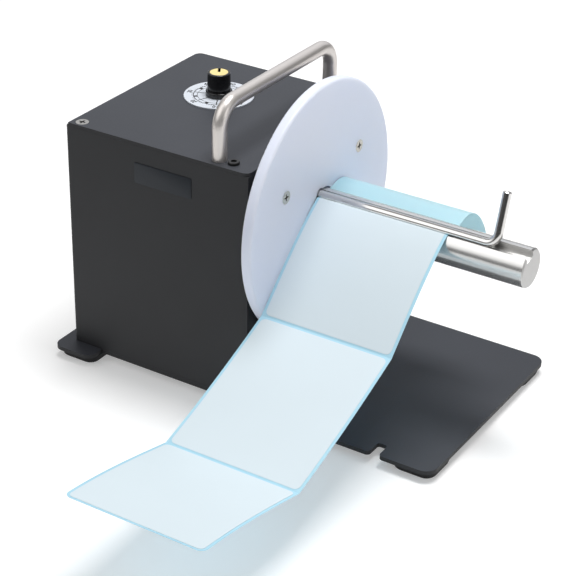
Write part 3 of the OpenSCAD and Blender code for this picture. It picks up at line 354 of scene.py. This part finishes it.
# ---------------------------------------------------------------- dial
# Thin pale plate under the knob, screen printed in black: two rings, a line at each number
# and a block half way between.
wear(finish("dial_enamel", (0.66, 0.70, 0.76), 0.42, scale=800, bump=0.08, depth=0.02, tone=0.04),
     "dial_plate")
dial_low, dial_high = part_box("dial_plate")
dial_mid = Vector(((dial_low.x + dial_high.x) / 2, (dial_low.y + dial_high.y) / 2, dial_high.z))
ink_black = finish("ink_black", (0.012, 0.012, 0.013), 0.5, scale=900, bump=0.05, depth=0.01)
ink_t, figure_size, figure_bold, figure_reach = 0.05, 4.6, 0.12, 20.9
print_pieces = []
scale_zero, scale_step, scale_numbers = -12.3, -50.0, 7
dial_rings = ((14.9, 15.25), (17.5, 18.05))


def flat_ring(inner, outer, corners):
    """A flat printed ring at the origin, drawn by its two radii in millimetres."""
    bpy.ops.mesh.primitive_circle_add(vertices=corners, radius=outer * MM)
    ring = bpy.context.object
    share = inner / outer
    bpy.ops.object.mode_set(mode="EDIT")
    bpy.ops.mesh.select_all(action="SELECT")
    bpy.ops.mesh.extrude_edges_move()
    bpy.ops.transform.resize(value=(share, share, 1), center_override=(0, 0, 0))
    bpy.ops.object.mode_set(mode="OBJECT")
    return ring


def flat_bar(length, width):
    """A flat printed bar at the origin, in millimetres."""
    bpy.ops.mesh.primitive_plane_add(size=1)
    bar = bpy.context.object
    bar.data.transform(Matrix.Diagonal((length * MM, width * MM, 1, 1)))
    return bar


def joined(name, pieces):
    """Several objects made into one."""
    bpy.ops.object.select_all(action="DESELECT")
    for piece in pieces:
        piece.select_set(True)
    bpy.context.view_layer.objects.active = pieces[0]
    bpy.ops.object.join()
    whole = bpy.context.object
    whole.name = name
    return whole


def dial_turn(piece, angle, reach):
    """Turns a flat piece that was drawn at the origin to its angle and distance on the dial."""
    way = math.radians(angle)
    out = Vector((math.cos(way), math.sin(way), 0)) * reach * MM
    piece.data.transform(Matrix.Translation(dial_mid + out) @ Matrix.Rotation(way, 4, "Z"))
    print_pieces.append(piece)


for inner, outer in dial_rings:
    dial_turn(flat_ring(inner, outer, 96), 0, 0)
for number in range(scale_numbers):
    at = scale_zero + scale_step * number
    marks = [(at, 13.4, 7.6, 0.7)]
    if number < scale_numbers - 1:
        marks.append((at + scale_step / 2, 16.4, 2.5, 2.4))
        marks += [(at + scale_step * k / 10, 18.7, 1.0, 0.3) for k in (1, 2, 3, 4, 6, 7, 8, 9)]
    for angle, reach, length, width in marks:
        dial_turn(flat_bar(length, width), angle, reach)
    bpy.ops.object.text_add()
    figure = bpy.context.object
    figure.data.body = str(number * 10)
    figure.data.size = figure_size * MM
    figure.data.offset = figure_bold * MM
    figure.data.align_x, figure.data.align_y = "CENTER", "CENTER"
    bpy.ops.object.convert(target="MESH")
    figure = bpy.context.object
    figure.data.transform(Matrix.Rotation(math.radians(-90), 4, "Z"))
    dial_turn(figure, at, figure_reach)
dial_print = joined("dial_print", print_pieces)
film = dial_print.modifiers.new("film", "SOLIDIFY")
film.thickness = ink_t * MM
film.offset = 1
bpy.ops.object.modifier_apply(modifier=film.name)
dial_print.data.materials.clear()
dial_print.data.materials.append(ink_black)
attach(dial_print, "frame")

# ---------------------------------------------------------------- speed knob
# Gloss black moulded knob with a skirt, pressed on the potentiometer's shaft, with a pale
# yellow cap whose slot is the pointer.
gloss_black = finish("gloss_black", (0.006, 0.006, 0.0065), 0.13, scale=500, bump=0.05, depth=0.02,
                     tone=0.2, swing=0.05)
wear(gloss_black, "speed_knob")
wear(finish("cap_yellow", (0.88, 0.72, 0.30), 0.4, scale=900, bump=0.08, depth=0.02, tone=0.05),
     "knob_cap")
wear(zinc_plate, "pot_body", "pot_nut", "pot_shaft")

# ---------------------------------------------------------------- switch and power inlet
# Snap-in rocker switch and round low-voltage inlet in the back wall, both of black plastic.
# The rocker has the usual printed stroke and ring.
switch_black = finish("switch_black", (0.011, 0.011, 0.012), 0.38, scale=1100, bump=0.2,
                      depth=0.03)
wear(switch_black, "switch_body", "switch_rocker", "power_inlet")
wear(zinc_plate, "inlet_nut")
rocker_pivot = Vector(next(j for j in frame["joints"] if j["name"] == "switch_rock")["pos_m"])
rocker_tilt, rocker_flat, rocker_face = 10, 12, 4.0
mark_clear, mark_up, mark_t, loop_r = 0.02, 2.5, 0.04, 1.35
stroke = flat_bar(0.5, 2.6)
loop = flat_ring(0.66 * loop_r, loop_r, 40)
for mark, half in ((stroke, 1), (loop, -1)):
    mark.data.transform(
        Matrix.Translation(rocker_pivot)
        @ Matrix.Rotation(math.radians(rocker_tilt + half * rocker_flat), 4, "X")
        @ Matrix.Translation(Vector((0, rocker_face + mark_clear, half * mark_up)) * MM)
        @ Matrix.Rotation(math.radians(-90), 4, "X"))
rocker_marks = joined("rocker_marks", [stroke, loop])
marks_film = rocker_marks.modifiers.new("film", "SOLIDIFY")
marks_film.thickness = mark_t * MM
bpy.ops.object.modifier_apply(modifier=marks_film.name)
ink_white = finish("ink_white", (0.78, 0.78, 0.76), 0.5, scale=900, bump=0.05, depth=0.01)
rocker_marks.data.materials.append(ink_white)
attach(rocker_marks, "rocker")

# ---------------------------------------------------------------- spindle
# Drawn and polished stainless shaft with a milled groove along its top and a slit out of it,
# carried by two bearings. Fine drawing lines run along it and its free end is faced in a lathe.
steel_polish = finish("steel_polish", (0.72, 0.715, 0.70), 0.22, 0.82, scale=900,
                      stretch=(0.01, 1, 1), bump=0.12, depth=0.02, tone=0.04, swing=0.05)
spindle = eased("spindle_polished", "spindle_shaft", steel_polish, 0.3)
wear(steel_polish, "output_shaft", "front_bearing", "rear_bearing")
steel_faced = finish("steel_faced", (0.52, 0.515, 0.508), 0.42, 0.9, scale=300, bump=0.1,
                     depth=0.02, tone=0.06)
spindle.data.materials.append(steel_faced)
round_share = 0.97
spindle_axis = Vector(next(j for j in frame["joints"] if j["name"] == "spindle_spin")["pos_m"])
for face in spindle.data.polygons:
    out = face.center - spindle_axis
    out.x = 0
    if face.normal.dot(out.normalized()) < round_share:
        face.material_index = 1
# The hub flange takes the black finish as painted shade: it makes the narrow gap round the spindle
# in the disc's bore look dark.
wear(black_oxide_and_gap_shade, "hub_flange")

# ---------------------------------------------------------------- guide disc
# Disc of milky white polyethylene, turned with a rounded rim and held to the hub flange by
# countersunk screws.
wear(finish("milky_plastic", (0.76, 0.80, 0.945), 0.36, scale=700, bump=0.06, depth=0.03,
            tone=0.02, swing=0.04, Subsurface_Weight=0.6, Subsurface_Scale=0.006,
            Subsurface_Radius=(1, 1, 1)), "winding_disc")

# ---------------------------------------------------------------- clamp rod
# Bright drawn steel rod, bent to a short arm at its free end. It lies loose in the groove and
# passes through the disc.
wear(finish("bright_rod", (0.70, 0.69, 0.675), 0.13, 1.0, scale=300, stretch=(1, 6, 6), bump=0.08,
            depth=0.02, tone=0.04, swing=0.05), "clamp_rod")

# ---------------------------------------------------------------- label web
# Die-cut paper labels on a glazed pale blue release liner. The liner is creased between the
# labels, dips under the rod, leaves the spindle through its slit and ends in a loose tail.
liner_low, liner_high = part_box("label_liner")
label_low, label_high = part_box("labels")
spindle_r, groove_w, groove_turn, groove_floor = 13.5, 8.2, math.radians(68), 8.5
liner_off, slit_tilt = 0.55, 12
lip_half = math.asin(groove_w / 2 / spindle_r)
groove_out = Vector((-math.cos(groove_turn), math.sin(groove_turn)))
groove_side = Vector((math.sin(groove_turn), math.cos(groove_turn)))
liner_t, label_t, label_lift, label_gap = 0.2, 0.16, 0.2, 3.0
liner_r, label_r = 5, 3.5


def heading(slope, way):
    """Direction of the web where it falls by a slope, to the front (-1) or the back (1)."""
    return Vector((way * math.cos(math.radians(slope)), -math.sin(math.radians(slope))))


def stretch_of_web(p, q, slope_p, slope_q, way, step=2.5, trim=(0.0, 0.0)):
    """Points of a smooth stretch of the web between two places, less a trim at its ends."""
    reach = (q - p).length / 3
    a, b = p + heading(slope_p, way) * reach, q - heading(slope_q, way) * reach
    count = max(6, round((q - p).length / step))
    first, last = trim[0] / (q - p).length, 1 - trim[1] / (q - p).length
    inner = [k / count for k in range(count + 1) if first < k / count < last]
    points = []
    for t in [first] + inner + [last]:
        points.append(p * (1 - t) ** 3 + a * 3 * t * (1 - t) ** 2
                      + b * 3 * t * t * (1 - t) + q * t ** 3)
    return points


def lip_point(angle):
    """The liner's middle line where it bends over the front lip of the groove."""
    return (groove_out * (spindle_r * math.cos(lip_half) + liner_off * math.cos(angle))
            + groove_side * (-groove_w / 2 + liner_off * math.sin(angle)))


lip_leave = math.radians(-10)
front_folds = [lip_point(lip_leave), Vector((-76.5, -47.9)), Vector((-185, -87.1)),
               Vector((-285.5, -67.1))]
front_slopes = [(90 - math.degrees(groove_turn + lip_leave), 44), (23, 16), (-14, -6)]
front_legs = [(front_folds[k], front_folds[k + 1], *front_slopes[k], -1) for k in range(3)]
floor_n, floor_t, floor_bend = groove_floor + liner_off, groove_w / 2 - liner_off, 0.7
slit_mouth = groove_out * floor_n + groove_side * floor_t
slit_way = heading(-slit_tilt, 1)
dip = [lip_point(math.radians(a)) for a in range(-5, 86, 10)]
for a in range(0, 91, 15):
    bend = math.radians(a)
    dip.append(groove_out * (floor_n + floor_bend - floor_bend * math.sin(bend))
               + groove_side * (-floor_t + floor_bend - floor_bend * math.cos(bend)))
label_end = len(dip)
dip += [groove_out * floor_n + groove_side * (floor_t - 1), slit_mouth + slit_way * 0.5,
        slit_mouth + slit_way * 4]
front_line = []
for leg in reversed(front_legs):
    front_line += list(reversed(stretch_of_web(*leg)))[0 if not front_line else 1:]
front_line += dip
tail_places = [slit_mouth + slit_way * 3.6, slit_mouth + slit_way * 8.37, Vector((20.5, 13.5)),
               Vector((49.8, -12.7)), Vector((50, -41.2))]
tail_slopes = [-slit_tilt, -slit_tilt, 4, 66, 104]
tail_line = []
for k in range(4):
    tail_leg = stretch_of_web(tail_places[k], tail_places[k + 1],
                              tail_slopes[k], tail_slopes[k + 1], 1, step=1.5)
    tail_line += tail_leg[0 if not tail_line else 1:]


def paper_strip(name, path, low_x, high_x, round_start, round_end, thick, made, lift=0.0):
    """A strip of paper along points back and up from the spindle axis, with rounded end corners."""
    runs = [0.0]
    for p, q in zip(path, path[1:]):
        runs.append(runs[-1] + (q - p).length)
    turns = [math.radians(15 * k) for k in range(7)]
    near = 0.2
    rows = [(round_start * (1 - math.cos(t)), round_start * (1 - math.sin(t))) for t in turns]
    rows += [(run, 0.0) for run in runs if round_start + near < run < runs[-1] - round_end - near]
    rows += [(runs[-1] - round_end * (1 - math.cos(t)), round_end * (1 - math.sin(t)))
             for t in reversed(turns)]
    if not round_start:
        rows = [(0.0, 0.0)] + rows[len(turns):]
    if not round_end:
        rows = rows[:-len(turns)] + [(runs[-1], 0.0)]
    columns = 8
    bpy.ops.mesh.primitive_grid_add(x_subdivisions=columns, y_subdivisions=len(rows) - 1)
    strip = bpy.context.object
    strip.name = name
    for r, (run, inset) in enumerate(rows):
        k = max(i for i in range(len(runs) - 1) if runs[i] <= run + 1e-9)
        share = (run - runs[k]) / (runs[k + 1] - runs[k])
        ahead = (path[min(k + 2, len(path) - 1)] - path[max(k - 1, 0)]).normalized()
        spot = path[k].lerp(path[k + 1], share) + Vector((-ahead.y, ahead.x)) * lift
        for c in range(columns + 1):
            x = low_x + inset * MM + (high_x - low_x - 2 * inset * MM) * c / columns
            strip.data.vertices[r * (columns + 1) + c].co = (
                x, spindle_axis.y + spot.x * MM, spindle_axis.z + spot.y * MM)
    body = strip.modifiers.new("paper", "SOLIDIFY")
    body.thickness = thick * MM
    body.offset = 0
    bpy.ops.object.modifier_apply(modifier=body.name)
    bpy.ops.object.shade_smooth_by_angle(angle=math.radians(14))
    strip.data.materials.append(made)
    return strip, runs[-1] * MM


liner_glazed = finish("liner_glazed", (0.42, 0.70, 0.84), 0.34, scale=260, bump=0.06,
                      depth=0.03, tone=0.03, swing=0.05)
# Painted light: the tail's copy of the liner is a little lighter and bluer than the rest of the
# same liner.
liner_bare_lit = finish("liner_bare_lit", (0.42, 0.74, 0.92), 0.34, scale=260, bump=0.06, depth=0.03,
                    tone=0.03, swing=0.05, Subsurface_Weight=0.85, Subsurface_Scale=0.0012,
                    Subsurface_Radius=(1, 1, 1))
label_paper = finish("label_paper", (0.68, 0.775, 0.825), 0.55, scale=420, bump=0.1, depth=0.02,
                     tone=0.02, swing=0.04, Specular_IOR_Level=0.35)
web_liner, front_len = paper_strip("web_liner", front_line, liner_low.x, liner_high.x, liner_r, 0,
                                   liner_t, liner_glazed)
web_tail, tail_len = paper_strip("web_tail", tail_line, liner_low.x, liner_high.x, 0, liner_r,
                                 liner_t, liner_bare_lit)
stickers = []
for number, leg in enumerate(front_legs):
    gaps = (label_gap / 2 if number else 0, label_gap / 2)
    line = list(reversed(stretch_of_web(*leg, trim=gaps)))
    if number == 0:
        line += dip[:label_end]
    stickers.append(paper_strip("label_%d" % number, line, label_low.x, label_high.x, label_r,
                                label_r, label_t, label_paper, label_lift)[0])
web_labels = joined("web_labels", stickers)


for strip in (web_liner, web_labels):
    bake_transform(strip)
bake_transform(web_tail)
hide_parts("label_liner")
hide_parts("labels")

# ---------------------------------------------------------------- drive inside the housing
# Bearing housing and coupling of machined alloy, and a plated gear motor that is screwed to an
# angle bracket.
machined_alloy = finish("machined_alloy", (0.60, 0.61, 0.62), 0.34, 1.0, scale=500,
                        stretch=(6, 1, 1), bump=0.15, depth=0.03)
wear(machined_alloy, "bearing_housing", "shaft_coupling")
wear(zinc_plate, "gearbox", "gear_motor", "gearbox_bracket")

# ---------------------------------------------------------------- control board
# Green circuit board on plated standoffs inside the housing. Its parts, soldered on, are of
# black plastic.
wear(finish("solder_mask", (0.012, 0.10, 0.04), 0.3, scale=700, bump=0.1, depth=0.03),
     "control_board")
wear(switch_black, "board_parts")
